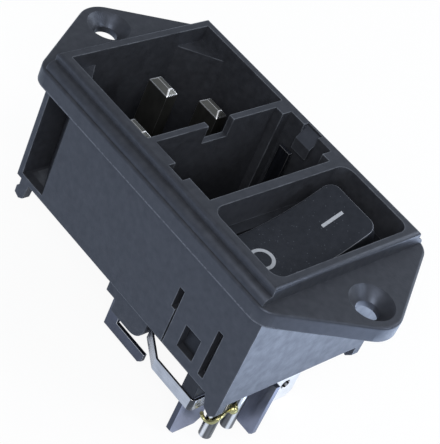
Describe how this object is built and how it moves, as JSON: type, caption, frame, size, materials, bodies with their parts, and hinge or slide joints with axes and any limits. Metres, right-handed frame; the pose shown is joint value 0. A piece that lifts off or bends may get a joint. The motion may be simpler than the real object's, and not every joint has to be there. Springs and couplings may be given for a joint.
{
  "type": "power entry module",
  "caption": "Panel-mounted power entry module with an appliance inlet, an open fuse bay and a rocker switch in one housing.",
  "frame": {"origin": "midway between the two ear screw holes, on the flange's rear face", "axes": "+X from the inlet to the switch, +Y across the module, +Z out of the front"},
  "size_m": [0.0648, 0.0306, 0.0335],
  "materials": {
    "housing_plastic": "fine moulded texture",
    "switch_plastic": "moulded",
    "rocker_plastic": "spark-eroded texture",
    "plunger_plastic": "smooth",
    "pin_metal": "nickel plated",
    "tab_metal": "tin plated, dull",
    "strap_metal": "tin plated, bright",
    "post_metal": "tin plated",
    "wire_brass": "bare, soldered",
    "spring_steel": "bright wire",
    "contact_metal": "silver faced"
  },
  "bodies": {
    "module": {"housing": "housing_plastic", "switch_body": "switch_plastic", "earth_pin": "pin_metal", "line_pin": "pin_metal", "neutral_pin": "pin_metal", "earth_tab": "tab_metal", "line_link": "tab_metal", "neutral_link": "tab_metal", "line_feed_clip": "tab_metal", "neutral_feed_clip": "tab_metal", "line_strap": "strap_metal", "neutral_strap": "strap_metal", "line_fulcrum": "tab_metal", "neutral_fulcrum": "tab_metal", "line_outlet_tab": "tab_metal", "neutral_outlet_tab": "tab_metal", "outer_post": "post_metal", "inner_post": "post_metal", "bridge_wire": "wire_brass", "line_fixed_contact": "contact_metal", "neutral_fixed_contact": "contact_metal"},
    "rocker": {"rocker": "rocker_plastic", "line_plunger": "plunger_plastic", "neutral_plunger": "plunger_plastic", "line_spring": "spring_steel", "neutral_spring": "spring_steel"},
    "line_arm": {"line_arm": "contact_metal", "line_moving_contact": "contact_metal"},
    "neutral_arm": {"neutral_arm": "contact_metal", "neutral_moving_contact": "contact_metal"}
  },
  "joints": [
    {"name": "rocker_tilt", "type": "hinge", "parent": "module", "child": "rocker", "pos_m": [0.01515, 0, -0.0015], "axis": [1, 0, 0], "range_deg": [-32, 0]},
    {"name": "line_arm_tilt", "type": "hinge", "parent": "module", "child": "line_arm", "pos_m": [0.0126, 0, -0.0107], "axis": [1, 0, 0], "range_deg": [0, 14]},
    {"name": "neutral_arm_tilt", "type": "hinge", "parent": "module", "child": "neutral_arm", "pos_m": [0.0177, 0, -0.0107], "axis": [1, 0, 0], "range_deg": [0, 14]}
  ],
  "couplings": [
    {"joint": "line_arm_tilt", "follows": "rocker_tilt", "ratio": -0.4375},
    {"joint": "neutral_arm_tilt", "follows": "rocker_tilt", "ratio": -0.4375}
  ]
}
